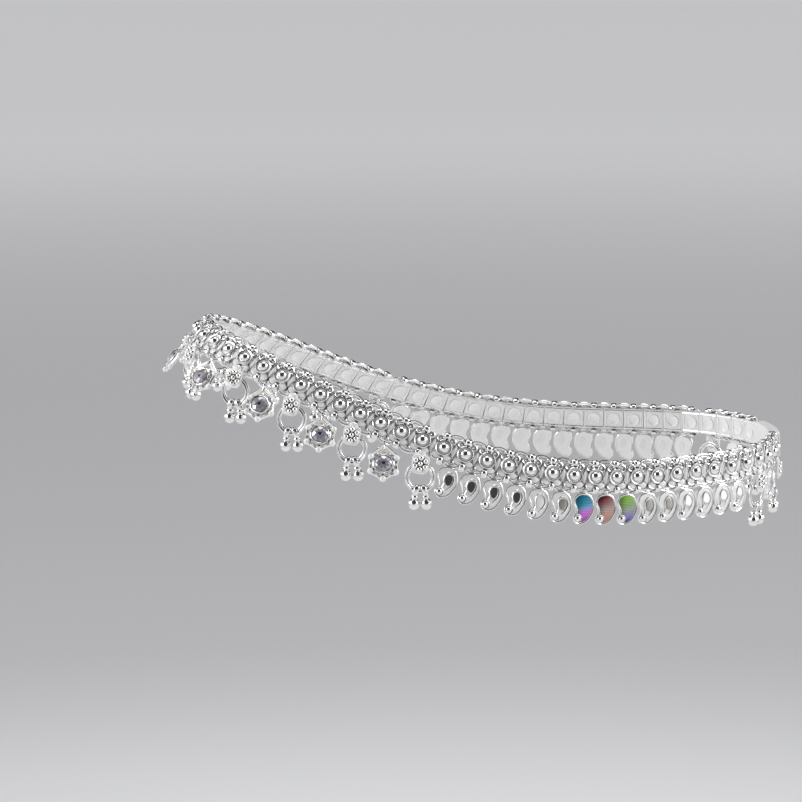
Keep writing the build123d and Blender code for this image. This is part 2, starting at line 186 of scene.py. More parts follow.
def turned_plane(base, degrees_round, shift=(0, 0, 0)):
    """The plane moved by shift in its own directions, then turned about its z."""
    origin, x_dir, y_dir, z_dir = base
    a = radians(degrees_round)
    return (
        local(base, *shift),
        x_dir * cos(a) + y_dir * sin(a),
        y_dir * cos(a) - x_dir * sin(a),
        z_dir,
    )


# ---- shapes: corners, faces and each face's finish ----
CROWN_STEPS = 5


class Shape:
    def __init__(self, verts, loops, sizes, finish):
        self.verts, self.loops, self.sizes, self.finish = verts, loops, sizes, finish


def closed_shape(verts, faces, finish):
    """A shape whose faces are made to look outwards."""
    mesh = bmesh.new()
    corners = [mesh.verts.new(v) for v in verts]
    for face in faces:
        mesh.faces.new([corners[i] for i in face])
    mesh.verts.index_update()
    bmesh.ops.recalc_face_normals(mesh, faces=mesh.faces)
    faces = [[v.index for v in face.verts] for face in mesh.faces]
    mesh.free()
    return Shape(
        np.array(verts, float),
        np.array([i for face in faces for i in face]),
        np.array([len(face) for face in faces]),
        np.full(len(faces), finish),
    )


def quads(row, after, sides):
    """The faces between two rings of corners, which start at row and at after."""
    return [[row + s, row + (s + 1) % sides, after + (s + 1) % sides, after + s] for s in range(sides)]


def strung(sections, finish, closed=False):
    """A solid through sections of equally many points, with flat ends unless it closes on itself."""
    count, sides = len(sections), len(sections[0])
    faces = []
    for i in range(count if closed else count - 1):
        faces += quads(i * sides, (i + 1) % count * sides, sides)
    if not closed:
        faces += [list(range(sides)), list(range((count - 1) * sides, count * sides))]
    return closed_shape([point for section in sections for point in section], faces, finish)


def joined(shapes):
    """Several shapes as one."""
    shapes = list(shapes)
    starts = np.cumsum([0] + [len(s.verts) for s in shapes])
    return Shape(
        np.concatenate([s.verts for s in shapes]),
        np.concatenate([s.loops + start for s, start in zip(shapes, starts)]),
        np.concatenate([s.sizes for s in shapes]),
        np.concatenate([s.finish for s in shapes]),
    )


def placed(shape, on_plane):
    """The shape set on a plane, its faces turned over where the plane is a mirrored one."""
    origin, x_dir, y_dir, z_dir = on_plane
    axes = np.array((x_dir, y_dir, z_dir), float)
    verts = shape.verts @ axes + np.array(origin, float)
    if np.linalg.det(axes) > 0:
        return Shape(verts, shape.loops, shape.sizes, shape.finish)
    return Shape(verts, shape.loops[::-1], shape.sizes[::-1], shape.finish[::-1])


def at(shape, x=0.0, y=0.0, z=0.0, spin=0.0, mirror_x=False, mirror_y=False):
    """The shape mirrored, turned about z and moved."""
    a = radians(spin)
    x_dir = np.array((cos(a), sin(a), 0)) * (-1 if mirror_x else 1)
    y_dir = np.array((-sin(a), cos(a), 0)) * (-1 if mirror_y else 1)
    return placed(shape, ((x, y, z), x_dir, y_dir, UP))


def turned(profile, around, finish):
    """A solid of revolution about z, from (radius, height) points with both ends on the axis."""
    verts, rows = [], []
    for radius, height in profile:
        count = around if radius > 1e-6 else 1
        rows.append(list(range(len(verts), len(verts) + count)))
        for step in range(count):
            a = tau * step / around
            verts.append((radius * cos(a), radius * sin(a), height))
    faces = []
    for low, high in zip(rows, rows[1:]):
        for step in range(around):
            after = (step + 1) % around
            corners = [low[step % len(low)], low[after % len(low)]]
            corners += [high[after % len(high)], high[step % len(high)]]
            faces.append(list(dict.fromkeys(corners)))
    return closed_shape(verts, faces, finish)


def arc(centre, radius, start, end, steps):
    """Points of an arc, its angles in degrees."""
    turns = [radians(start + (end - start) * s / steps) for s in range(steps + 1)]
    return [(centre[0] + radius * cos(a), centre[1] + radius * sin(a)) for a in turns]


def ball(radius, finish=POLISHED, around=18, rings=12):
    profile = arc((0, 0), radius, -90, 90, rings)
    profile[0], profile[-1] = (0, -radius), (0, radius)
    return turned(profile, around, finish)


def swept(path, section, finish, out=(0, 0, 1), closed=False, sizes=None):
    """A section of (across, out) points carried along a path, larger or smaller by sizes."""
    path, out = np.array(path, float), np.array(out, float)
    count = len(path)
    rings = []
    for i, point in enumerate(path):
        if closed:
            tangent = path[(i + 1) % count] - path[i - 1]
        else:
            tangent = path[min(i + 1, count - 1)] - path[max(i - 1, 0)]
        tangent = unit(tangent)
        across = unit(np.cross(out, tangent))
        outwards = np.cross(tangent, across)
        scale = 1.0 if sizes is None else sizes[i]
        rings.append([point + (across * a + outwards * o) * scale for a, o in section])
    return strung(rings, finish, closed)


def disc(radius, sides, squash=1.0):
    """A wire's round section, or an oval one."""
    return [(radius * cos(tau * s / sides), radius * squash * sin(tau * s / sides)) for s in range(sides)]


def inset(outline, amount):
    """A closed outline moved inwards, its points taken anticlockwise."""
    points = np.array(outline, float)
    ahead, behind = np.roll(points, -1, 0) - points, points - np.roll(points, 1, 0)
    ahead /= np.linalg.norm(ahead, axis=1)[:, None]
    behind /= np.linalg.norm(behind, axis=1)[:, None]
    normal = np.stack((-(ahead + behind)[:, 1], (ahead + behind)[:, 0]), 1)
    length = np.linalg.norm(normal, axis=1)[:, None]
    normal /= length
    mitre = np.minimum(2 / np.maximum(length, 1e-6), 2.0)
    return points + normal * amount * mitre


def slab(outline, low, high, finish, edge=0.1, rounds=3, back_edge=0.0, crown=0.0):
    """A closed plate with a rounded front edge, and a dome of height crown on its front."""
    layers = []
    if back_edge:
        layers.append((back_edge, low))
        layers.append((0.0, low + back_edge))
    else:
        layers.append((0.0, low))
    for step in range(rounds + 1):
        a = pi / 2 * step / rounds
        layers.append((edge * (1 - cos(a)), high - edge + edge * sin(a)))
    rows = [[(x, y, z) for x, y in inset(outline, amount)] for amount, z in layers]
    if crown:
        rim = np.array([(x, y) for x, y, _ in rows[-1]])
        centre = rim.mean(0)
        for step in range(1, CROWN_STEPS):
            share = 1 - step / CROWN_STEPS
            z = high + crown * sqrt(1 - share**2)
            rows.append([(*(centre + (p - centre) * share), z) for p in rim])
    count = len(outline)
    verts = [v for row in rows for v in row]
    faces = [list(range(count))]
    for row in range(len(rows) - 1):
        faces += quads(row * count, (row + 1) * count, count)
    last = (len(rows) - 1) * count
    if crown:
        verts.append((*centre, high + crown))
        faces += [[last + s, last + (s + 1) % count, len(verts) - 1] for s in range(count)]
    else:
        faces.append(list(range(last, last + count)))
    return closed_shape(verts, faces, finish)


def oval(width, height, steps, centre=(0, 0)):
    turns = [tau * step / steps for step in range(steps)]
    return [(centre[0] + width / 2 * cos(a), centre[1] + height / 2 * sin(a)) for a in turns]


def box_outline(half_width, half_height):
    x, y = half_width, half_height
    return [(-x, -y), (x, -y), (x, y), (-x, y)]


def softened(corners, radius, steps=4):
    """A polygon, anticlockwise, with its corners rounded over this distance along each side."""
    points = []
    corners = np.array(corners, float)
    for i, corner in enumerate(corners):
        before, after = corners[i - 1], corners[(i + 1) % len(corners)]
        start = corner + unit(before - corner) * min(radius, np.linalg.norm(before - corner) / 2)
        end = corner + unit(after - corner) * min(radius, np.linalg.norm(after - corner) / 2)
        for step in range(steps + 1):
            t = step / steps
            points.append(tuple(start * (1 - t) ** 2 + corner * 2 * t * (1 - t) + end * t**2))
    return points


def three_point_arc(start, middle, end, steps):
    """Points of the arc through three points, without the last."""
    (ax, ay), (bx, by), (cx, cy) = start, middle, end
    d = 2 * (ax * (by - cy) + bx * (cy - ay) + cx * (ay - by))
    a2, b2, c2 = ax**2 + ay**2, bx**2 + by**2, cx**2 + cy**2
    ux = (a2 * (by - cy) + b2 * (cy - ay) + c2 * (ay - by)) / d
    uy = (a2 * (cx - bx) + b2 * (ax - cx) + c2 * (bx - ax)) / d
    radius = hypot(ax - ux, ay - uy)
    first, mid, last = (atan2(y - uy, x - ux) for x, y in (start, middle, end))
    sweep, half = (last - first) % tau, (mid - first) % tau
    if half > sweep:
        sweep -= tau
    turns = [first + sweep * s / steps for s in range(steps)]
    return [(ux + radius * cos(a), uy + radius * sin(a)) for a in turns]


# ---- the link: a plate with a ringed bead, petals, folded posts and scallop wires ----
def dome(radius, height, finish=POLISHED, around=14, steps=5):
    """A half-round lump standing on z = 0."""
    profile = [(0, -0.1), (radius, -0.1)]
    profile += [(radius * cos(a), height * sin(a)) for a in (pi / 2 * s / steps for s in range(steps))]
    return turned(profile + [(0, height)], around, finish)


def ring(radius, wire, z, around=32, sides=8, finish=POLISHED, squash=1.0):
    """A round wire lying flat at height z."""
    path = [(x, y, z) for x, y in arc((0, 0), radius, 0, 360 - 360 / around, around - 1)]
    return swept(path, disc(wire, sides, squash), finish, closed=True)


def button():
    """A round base with a fine rim, and a polished bead that fills it."""
    r = BUTTON_RADIUS
    base = turned([(0, -0.25), (r - 0.08, -0.25), (r, 0.1), (r - 0.02, 0.4), (0, 0.42)], 28, SATIN)
    groove_shade = turned([(0, 0.38), (1.06, 0.38), (1.06, 0.44), (0, 0.44)], 28, SHADE)
    rim = ring(RIM_RADIUS, RIM_WIRE, RIM_TOP, 30, 7, BURNISHED)
    bead = [(0, BEAD_FOOT - 0.1)]
    for a in (radians(9 * step) for step in range(10)):
        bead.append((BEAD_RADIUS * cos(a), BEAD_FOOT + BEAD_HEIGHT * sin(a)))
    bead.append((0, BEAD_FOOT + BEAD_HEIGHT))
    return joined([base, groove_shade, rim, turned(bead, 26, POLISHED)])


def bridge(start, peak, end, wire, z, finish=BURNISHED, steps=14, squash=1.0):
    """A wire in an arc from start over peak to end, all at height z."""
    points = three_point_arc(start, peak, end, steps) + [end]
    return swept([(x, y, z) for x, y in points], disc(wire, 7, squash), finish)


def petal(lower):
    """One lobe of a link, round its own middle: a bright-edged plate below, a ringed hollow above."""
    if lower:
        lobe = slab(oval(1.5, 1.25, 20), -0.2, 0.2, SATIN, edge=0.12, crown=0.1)
        points = [(x * 1.12, y * 0.92, 0.24) for x, y in arc((0, 0), 0.64, 195, 350, 16)]
        sizes = [0.4 + 0.6 * sin(pi * s / 16) for s in range(17)]
        return joined([lobe, swept(points, disc(0.13, 7), BURNISHED, sizes=sizes)])
    lobe = slab(oval(1.35, 1.1, 20), -0.2, 0.12, SHADE, edge=0.08)
    path = [(x, y, 0.24) for x, y in oval(1.25, 1.0, 24)]
    edging = swept(path, disc(0.15, 8), BURNISHED, closed=True)
    return joined([lobe, edging, at(dome(0.22, 0.2), 0, -0.05, 0.1)])


def curve_through(points, shares=3):
    """Points along a smooth curve through these, with shares of them for each gap."""
    points = np.array(points, float)
    smooth = []
    for i in range(len(points) - 1):
        p0, p1, p2, p3 = points[max(i - 1, 0)], points[i], points[i + 1], points[min(i + 2, len(points) - 1)]
        for t in (share / shares for share in range(shares)):
            bend, snap = 2 * p0 - 5 * p1 + 4 * p2 - p3, 3 * p1 - p0 - 3 * p2 + p3
            smooth.append(0.5 * (2 * p1 + (p2 - p0) * t + bend * t**2 + snap * t**3))
    return smooth + [points[-1]]


def lid():
    """The post above a button: a bright strip folded back over the band's edge."""
    path = [(0, 1.62, 0.1), (0, 1.8, 0.4), (0, 2.1, 0.46), (0, 2.42, 0.3)]
    path += [(0, 2.6, 0.0), (0, 2.62, -0.4), (0, 2.5, -0.85), (0, 2.2, -0.95)]
    path_widths = [0.62, 0.8, 0.95, 1.05, 1.15, 1.2, 1.1, 0.9]
    section = softened([(-0.48, -0.12), (0.48, -0.12), (0.44, 0.1), (0, 0.17), (-0.44, 0.1)], 0.1, 2)
    smooth = curve_through(path)
    widths = np.interp(np.linspace(0, len(path) - 1, len(smooth)), range(len(path)), path_widths)
    rings = []
    for i, (point, width) in enumerate(zip(smooth, widths)):
        tangent = unit(smooth[min(i + 1, len(smooth) - 1)] - smooth[max(i - 1, 0)])
        outwards = np.cross((1.0, 0, 0), tangent)
        rings.append([point + np.array((a * width, 0, 0)) + outwards * o for a, o in section])
    return strung(rings, BURNISHED)


def link_back():
    """What a pressed plate shows behind: the button's hollow with its lip, folded edges and ribs."""
    lip = [(0, -0.71), (0.5, -0.73), (0.86, -0.79), (0.98, -0.88), (1.1, -0.84), (1.14, -0.66), (0, -0.6)]
    parts = [turned(lip, 28, SATIN)]
    for y in (1.62, -1.62):
        fold = [(x, y, PLATE_BACK) for x in (-1.62, -0.8, 0.8, 1.62)]
        parts.append(swept(fold, disc(0.13, 8), BURNISHED))
    for x in (-1.35, 1.35):
        rib = [(x, y, PLATE_BACK) for y in (-1.4, -0.5, 0.5, 1.4)]
        parts.append(swept(rib, disc(0.1, 8), SATIN))
    return joined(parts)


def link():
    """The plate, the button, four petals, the folded posts and the leaf over the seam to the next link."""
    half = PITCH / 2
    plate = softened(box_outline(half - LINK_SEAM, BAND_HALF), 0.3)
    parts = [slab(plate, PLATE_BACK, 0.0, SHADE, edge=0.08), button(), link_back()]
    low, high, strip, grain = petal(True), petal(False), lid(), ball(0.2, BURNISHED, 10, 6)
    for side in (1, -1):
        x, spin, mirror = PETAL_X * side, PETAL_SPIN * side, side < 0
        parts.append(at(low, x, PETAL_LOW, spin=spin, mirror_x=mirror))
        parts.append(at(high, x, PETAL_HIGH, spin=-spin, mirror_x=mirror))
        for y in (2.12, -2.12):
            parts.append(at(grain, x, y, 0.16))
        parts.append(at(grain, x * 0.52, 1.62, 0.42))
    parts += [strip, at(strip, mirror_y=True)]
    # A leaf lies over the seam to the next link, with two wires on it.
    leaf = softened([(0.5, 0.25), (0.1, 1.2), (-0.5, -0.25), (-0.1, -1.25)], 0.2)
    parts.append(at(slab(leaf, -0.1, 0.26, SATIN, edge=0.06, rounds=2), half))
    vein = swept(
        [(-0.16, -1.2, 0.26), (-0.5, -0.55, 0.3), (-0.58, -0.05, 0.3), (-0.2, 0.85, 0.26)],
        disc(0.08, 6),
        BURNISHED,
    )
    parts += [at(vein, half, spin=turn) for turn in (0, 180)]
    # Painted shade: a near-black wire lies in the slit under the button and in the one over the seam.
    slit_shade = swept([(-0.04, -1.35, 0.24), (0, -1.7, 0.27), (0.02, -2.05, 0.2)], disc(0.08, 6), PAINTED_SHADE)
    parts += [at(slit_shade, x) for x in (0, half)]
    return joined(parts)


def scallops():
    """The wires above and below the band between two posts, and the ribbon behind them."""
    parts = []
    for up in (1, -1):
        outer = bridge((-1.5, 2.05 * up), (0, 2.7 * up), (1.5, 2.05 * up), 0.14, -0.08)
        inner = bridge((-1.35, 1.95 * up), (0, 2.24 * up), (1.35, 1.95 * up), 0.11, 0.02)
        ends = (-1.5, 2.02 * up), (0, 2.68 * up), (1.5, 2.02 * up)
        parts += [outer, inner, bridge(*ends, 0.11, -0.34, SATIN, squash=2.8)]
    return joined(parts)


# ---- the paisley, its plane at the band's ----
def paisley_outline(steps=10):
    """Arcs over the shoulders, down the belly, round the curl and up the hollow side, taken anticlockwise."""
    arcs = [
        ((-1.1, -0.08), (0, 0.14), steps),
        ((1.1, -0.2), (1.74, -1.95), steps + 4),
        ((1.12, -3.75), (0.3, -4.68), steps),
        ((-0.8, -5.0), (-1.76, -4.2), steps),
        ((-1.36, -3.15), (-1.36, -2.55), steps - 4),
        ((-1.64, -1.85), (-1.68, -0.7), steps),
    ]
    points = []
    for (start, middle, count), (end, _, _) in zip(arcs, arcs[1:] + arcs[:1]):
        points += three_point_arc(start, middle, end, count)
    return points[::-1]


def paisley_body():
    """The plate, its rims before and behind, the neck, and the curl's bead in its ring."""
    outline, front, back = paisley_outline(), PAISLEY_FRONT, PAISLEY_BACK
    plate = slab(inset(outline, 0.03), back, front - 0.1, SATIN, edge=0.1, back_edge=0.12)
    rim = [(x, y, front - 0.1) for x, y in inset(outline, 0.13)]
    back_rim = [(x, y, back + 0.04) for x, y in inset(outline, 0.2)]
    hollow = slab(
        oval(1.3, 2.0, 24, SEED_AT), back - 0.06, back + 0.1, SHADE, edge=0.02, rounds=1, back_edge=0.1
    )
    neck = softened([(-0.62, -0.3), (0.62, -0.3), (0.36, 0.62), (-0.36, 0.62)], 0.15)
    return joined([
        plate,
        swept(rim, disc(0.125, 8, 1.2), BURNISHED, closed=True),
        swept(back_rim, disc(0.11, 7), BURNISHED, closed=True),
        hollow,
        at(dome(0.56, 0.42, around=22, steps=7), *CURL_AT, front - 0.06),
        at(ring(0.64, 0.1, front - 0.06, 26, 7, BURNISHED), *CURL_AT),
        slab(neck, back + 0.05, back + 0.6, SOLDER, edge=0.14),
    ])


def paisley_seed(finish):
    """The plain paisley's oval, its top tilted back a little, and the rim that runs on into the curl."""
    seed = slab(oval(*SEED_SIZE, 32), -0.3, 0.0, finish, edge=0.06, crown=0.05)
    z_dir, x_dir = np.array((0, sin(SEED_LIFT), cos(SEED_LIFT))), np.array((1.0, 0, 0))
    seed = placed(seed, ((*SEED_AT, PAISLEY_FRONT - 0.02), x_dir, np.cross(z_dir, x_dir), z_dir))
    x, y = SEED_AT
    drop = [(x + 0.82 * a, y + 1.2 * b) for a, b in arc((0, 0), 1, -38, 215, 26)]
    points = [(0.0, -3.66), (0.42, -3.25)] + drop + [(-0.62, -3.0), (-0.78, -3.48)]
    sizes = [0.5, 0.8] + [1.0] * len(drop) + [0.8, 0.5]
    path = [(a, b, PAISLEY_FRONT - 0.04) for a, b in points]
    return joined([seed, swept(path, disc(0.11, 7, 1.1), BURNISHED, sizes=sizes)])


def paisley_inlay():
    """The enamel field inside the rim. It has one finish, the enamel's."""
    outline = paisley_outline()
    for amount in INLAY_INSETS:
        outline = inset(outline, amount)
    return slab(outline, PAISLEY_FRONT - 0.25, PAISLEY_FRONT - 0.04, 0, edge=0.05, rounds=2)


# ---- the ring drop: granulated tab, loop, ring and bells ----
def tab():
    """A plate with seven grains on a near-black disc of painted shade, its neck, and the loop behind it that
    holds the ring.
    """
    top = TAB_BACK + TAB_THICK
    outline = softened([(-1.3, -5.4), (1.3, -5.4), (1.48, -2.3), (-1.48, -2.3)], 0.9, 6)
    parts = [slab(outline, TAB_BACK, top, SATIN, edge=0.14, back_edge=0.08)]
    # Painted shade: the near-black disc shows in the gaps between the grains.
    parts.append(at(dome(1.15, 0.05, PAINTED_SHADE, 20, 2), 0, GRAIN_CENTRE, top))
    grain = ball(GRAIN_RADIUS, POLISHED, 16, 10)
    parts.append(at(grain, 0, GRAIN_CENTRE, top))
    for a in (radians(30 + 60 * step) for step in range(6)):
        parts.append(at(grain, GRAIN_SPACING * cos(a), GRAIN_CENTRE + GRAIN_SPACING * sin(a), top))
    neck = softened([(-0.8, -2.7), (0.8, -2.7), (0.62, -1.7), (-0.62, -1.7)], 0.2)
    parts.append(slab(neck, 0.1, 0.62, SATIN, edge=0.16, crown=0.1))
    y, z = LOOP_AT
    middle, wire = (LOOP_INNER + LOOP_OUTER) / 2, (LOOP_OUTER - LOOP_INNER) / 2
    path = [(0, y + a, z + b) for a, b in arc((0, 0), middle, 0, 350, 35)]
    parts.append(swept(path, disc(wire, 8), POLISHED, out=(1, 0, 0), closed=True))
    return joined(parts)


def jump_ring():
    """Two wires side by side, soldered along their whole round, with a near-black strip of painted shade in
    the groove between them.
    """
    section = arc((0.21, 0), 0.215, -160, 160, 12) + arc((-0.21, 0), 0.215, 20, 340, 12)
    path = [(x, y, 0) for x, y in arc((0, -JUMP_RADIUS), JUMP_RADIUS, 0, 352.5, 47)]
    # Painted shade: a near-black strip lies in the groove.
    groove_shade = box_outline(0.05, 0.13)
    return joined([swept(path, section, BURNISHED, closed=True), swept(path, groove_shade, PAINTED_SHADE, closed=True)])


def bell(side):
    """A bell on its own wire: an upright eye, a collar and a ball, hanging from the origin."""
    reach = JUMP_WIRE + JUMP_SPREAD
    eye_drop = EYE_INNER[1] / 2 - reach - EYE_SLACK
    width, height = EYE_INNER[0] + EYE_WIRE, EYE_INNER[1] + EYE_WIRE
    straight = (height - width) / 2
    turn = radians(side * EYE_TURN)
    path = []
    for centre, start in ((straight, 0), (-straight, 180)):
        for y, across in arc((centre, 0), width / 2, start - 90, start + 90, 11):
            path.append((0, y, across))
    path = np.array(path)
    path[:, 0], path[:, 1] = -path[:, 1] * sin(turn), path[:, 1] * cos(turn) - eye_drop
    eye = swept(path, disc(EYE_WIRE / 2 * 1.1, 12, 3.2), POLISHED, out=(1, 0, 0), closed=True)
    # The ball, its neck, and the collar halfway between the ball and the eye.
    profile = [(0, -BELL_DROP - BELL_RADIUS)] + arc((0, -BELL_DROP), BELL_RADIUS, -80, 62, 15)
    profile.append((0.4, -BELL_DROP + 0.89))
    middle = (-eye_drop - height / 2 - BELL_DROP + 0.95) / 2
    for a in (radians(degree) for degree in range(-50, 61, 18)):
        profile.append((COLLAR_RADIUS * cos(a), middle + 0.52 * sin(a)))
    body = turned(profile + [(0, middle + 0.54)], 24, POLISHED)
    # A turned solid stands along z, and the bell hangs along -y.
    body = placed(body, ((0, 0, 0), (1, 0, 0), (0, 0, -1), (0, 1, 0)))
    return joined([eye, body])


# ---- the flower drop ----
def flower():
    """A six-pointed plate with a lump at each point, a ringed seat, and a roof in place of the top point."""
    y0, thick = -FLOWER_DROP, FLOWER_THICK
    corners = []
    for turn in range(0, 360, 30):
        radius = ROOF_NOTCH if turn == 90 else POINT_RADIUS if turn % 60 else NOTCH_RADIUS
        corners.append((radius * cos(radians(turn)), radius * sin(radians(turn)) + y0))
    edge = softened(corners, 0.42, 3)
    rim = [(x, y, thick) for x, y in inset(edge, 0.15)]
    parts = [slab(edge, 0.0, thick, SHADE, edge=0.12, back_edge=0.06)]
    parts.append(swept(rim, disc(0.15, 7, 1.3), BURNISHED, closed=True))
    # Painted shade: near-black dimples sit inwards of the five lumps.
    lump, small, dimple_shade = dome(0.54, 0.44, SATIN), dome(0.28, 0.28, SATIN), dome(0.24, 0.05, PAINTED_SHADE, 10, 2)
    for turn in (30, 150, 210, 270, 330):
        a = radians(turn)
        parts.append(at(lump, 2.38 * cos(a), 2.38 * sin(a) + y0, thick - 0.04))
        parts.append(at(dimple_shade, 1.84 * cos(a), 1.84 * sin(a) + y0, thick))
    for turn in range(0, 360, 60):
        a = radians(turn)
        parts.append(at(small, 2.02 * cos(a), 2.02 * sin(a) + y0, thick - 0.04))
        bar = [(x, y + y0, SEAT_TOP - 0.08) for x, y in arc((0, 0), 1.64, turn - 19, turn + 19, 8)]
        parts.append(swept(bar, disc(0.13, 7), BURNISHED))
    r, top = SEAT_RADIUS, SEAT_TOP
    seat = [(0, 0.02), (r - 0.02, 0.02), (r, 0.3), (r - 0.04, top - 0.04), (r - 0.14, top), (0, top)]
    parts.append(at(turned(seat, 36, SATIN), 0, y0))
    parts.append(at(ring(1.5, 0.08, top + 0.02, 36, finish=BURNISHED), 0, y0))
    # Painted shade: a near-black disc under the stone shows as a dark line round it.
    seat_shade = [(0, top - 0.04), (1.42, top - 0.04), (1.42, top + 0.03), (0, top + 0.03)]
    parts.append(at(turned(seat_shade, 36, PAINTED_SHADE), 0, y0))
    for side in (1, -1):
        strip = [(0, -0.22), (-2.52, -2.3), (-2.3, -2.85), (-1.45, -2.5), (0, -1.2)]
        strip = softened([(x * side, y) for x, y in strip][::side], 0.12)
        parts.append(slab(strip, 0.08, 0.5, SATIN, edge=0.14, crown=0.14, back_edge=0.05))
        wire = [(x, y, 0.48) for x, y in inset(strip, 0.13)]
        parts.append(swept(wire, disc(0.11, 7), BURNISHED, closed=True))
    parts.append(at(dome(0.32, 0.3, TARNISH), 0, y0 + 1.72, thick))
    hook = [(0, y, z) for y, z in arc((0, SCALLOP_MIDDLE + 0.28), 0.43, -60, 240, 20)]
    parts.append(swept(hook, disc(0.13, 8, 1.2), POLISHED, out=(1, 0, 0)))
    return joined(parts)


def stone():
    """A round stone: a table with a small middle facet, a crown of facets, a girdle and a pointed back."""
    y0, base = -FLOWER_DROP, STONE_BASE
    verts = [(0, y0, base)]
    rows = [[0]]
    for radius, rise, count, start in (
        (STONE_RADIUS, 0.56, 16, 0),
        (STONE_RADIUS, 0.64, 16, 0),
        (1.0, 0.84, 8, 0.5),
        (TABLE_RADIUS, 0.93, 8, 0),
        (0.26, 0.96, 8, 0.5),
    ):
        rows.append(list(range(len(verts), len(verts) + count)))
        for step in range(count):
            a = tau * (step + start) / count
            verts.append((radius * cos(a), radius * sin(a) + y0, base + rise))
    faces, painted_tones = [], []
    low, high = rows[1], rows[2]
    for s in range(16):
        t = (s + 1) % 16
        faces += [[0, low[s], low[t]], [low[s], low[t], high[t], high[s]]]
        painted_tones += [PAINTED_GLINT, PAINTED_GLINT]
    kites, tops, middle = rows[3:]
    for s in range(8):
        t = (s + 1) % 8
        g0, g1, g2 = high[2 * s], high[2 * s + 1], high[(2 * s + 2) % 16]
        faces += [[g0, g1, kites[s]], [g1, g2, kites[s]], [g2, kites[t], tops[t], kites[s]]]
        faces += [[kites[s], tops[t], tops[s]]]
        faces += [[tops[s], tops[t], middle[s]], [tops[t], middle[t], middle[s]]]
        # Painted reflection: the facets take bright, grey or dark tones, and every third innermost facet and
        # the middle facet are dark.
        painted_tones += [PAINTED_GLINT, PAINTED_GREY, PAINTED_GLINT, PAINTED_GREY, PAINTED_GLINT, PAINTED_DARK if s % 3 == 0 else PAINTED_GREY]
    faces.append(middle)
    shape = closed_shape(verts, faces, PAINTED_GLINT)
    shape.finish = np.array(painted_tones + [PAINTED_DARK])
    return shape


# ---- materials ----
def feed(tree, node, inputs):
    """Sets the node's inputs to plain values, or links them to other nodes' sockets."""
    for key, value in inputs.items():
        if isinstance(value, bpy.types.NodeSocket):
            tree.links.new(value, node.inputs[key])
        else:
            node.inputs[key].default_value = value


def add_node(tree, kind, inputs=(), **settings):
    node = tree.nodes.new("ShaderNode" + kind)
    for key, value in settings.items():
        setattr(node, key, value)
    feed(tree, node, dict(inputs))
    return node


def add_mix(tree, factor, a, b, blend="MIX"):
    node = add_node(tree, "Mix", data_type="RGBA", blend_type=blend)
    feed(tree, node, {"Factor": factor, "A": a, "B": b})
    return node.outputs["Result"]


def add_ramp(tree, factor, stops):
    """A colour ramp's output, from (place, colour) stops."""
    node = add_node(tree, "ValToRGB", {"Fac": factor})
    elements = node.color_ramp.elements
    for element, (place, colour) in zip(elements, (stops[0], stops[-1])):
        element.position, element.color = place, (*colour, 1)
    for place, colour in stops[1:-1]:
        elements.new(place).color = (*colour, 1)
    return node.outputs["Color"]


def node_material(name):
    material = bpy.data.materials.new(name)
    material.use_nodes = True
    return material, material.node_tree, material.node_tree.nodes["Principled BSDF"]


def silver(name, metallic, colour, shade, roughness, grain, bump, reach=0.3):
    """Silver with painted shade in its hollows, where an ambient-occlusion mask mixes in the darker shade
    colour, and with fine scratches or frosting in its sheen.
    """
    material, tree, shader = node_material(name)
    place = add_node(tree, "TexCoord").outputs["Object"]
    noise = add_node(tree, "TexNoise", {"Vector": place, "Scale": grain, "Detail": 4.0, "Roughness": 0.6})
    grains = noise.outputs["Fac"]
    rough = add_node(tree, "MapRange", {"Value": grains, "To Min": roughness[0], "To Max": roughness[1]})
    # Painted shade: the ambient-occlusion mask darkens the colour towards the shade colour in hollows and
    # between parts.
    hollow = add_node(tree, "AmbientOcclusion", {"Distance": reach * MM}, samples=6, only_local=True)
    openness = hollow.outputs["AO"]
    clear = add_node(tree, "MapRange", {"Value": openness, "From Min": 0.15, "From Max": 0.6})
    height = add_node(tree, "Bump", {"Height": grains, "Strength": bump, "Distance": 0.02 * MM})
    feed(tree, shader, {
        "Base Color": add_mix(tree, clear.outputs["Result"], (*shade, 1), (*colour, 1)),
        "Metallic": metallic,
        "Roughness": rough.outputs["Result"],
        "Normal": height.outputs["Normal"],
    })
    return material


# In the order of the finishes.
# Each silver's second colour is the painted shade that its hollows take.
silvers = [
    silver("polished_silver", 1.0, (0.94, 0.935, 0.92), (0.5, 0.49, 0.48), (0.05, 0.14), 2500, 0.2),
    silver("satin_silver", 0.3, (0.95, 0.95, 0.94), (0.34, 0.34, 0.34), (0.45, 0.6), 9000, 0.8, 0.4),
    silver("shaded_silver", 0.4, (0.9, 0.9, 0.89), (0.27, 0.27, 0.27), (0.5, 0.65), 9000, 0.8, 0.5),
    silver("solder_silver", 0.9, (0.9, 0.88, 0.8), (0.4, 0.36, 0.28), (0.22, 0.4), 4000, 0.6),
    silver("tarnished_silver", 0.7, (0.5, 0.33, 0.17), (0.2, 0.12, 0.06), (0.3, 0.5), 4000, 0.6),
    # Painted shade: near-black silver set into grooves, slits, dimples and gaps where shade falls.
    silver("painted_shade_recess", 0.5, (0.1, 0.1, 0.1), (0.03, 0.03, 0.03), (0.5, 0.7), 4000, 0.6),
    silver("burnished_silver", 1.0, (0.95, 0.95, 0.94), (0.35, 0.35, 0.34), (0.14, 0.22), 5000, 0.3, 0.4),
    # Painted reflection: a darker silver that some plain ovals take in place of the polished one.
    silver("painted_dim_silver", 0.6, (0.46, 0.43, 0.4), (0.2, 0.19, 0.17), (0.25, 0.4), 3000, 0.4),
]


ENAMEL_WARP, ENAMEL_SLANT, HATCH_LINES, HATCH_SHARE = 0.2, -0.28, 5.5, 0.42


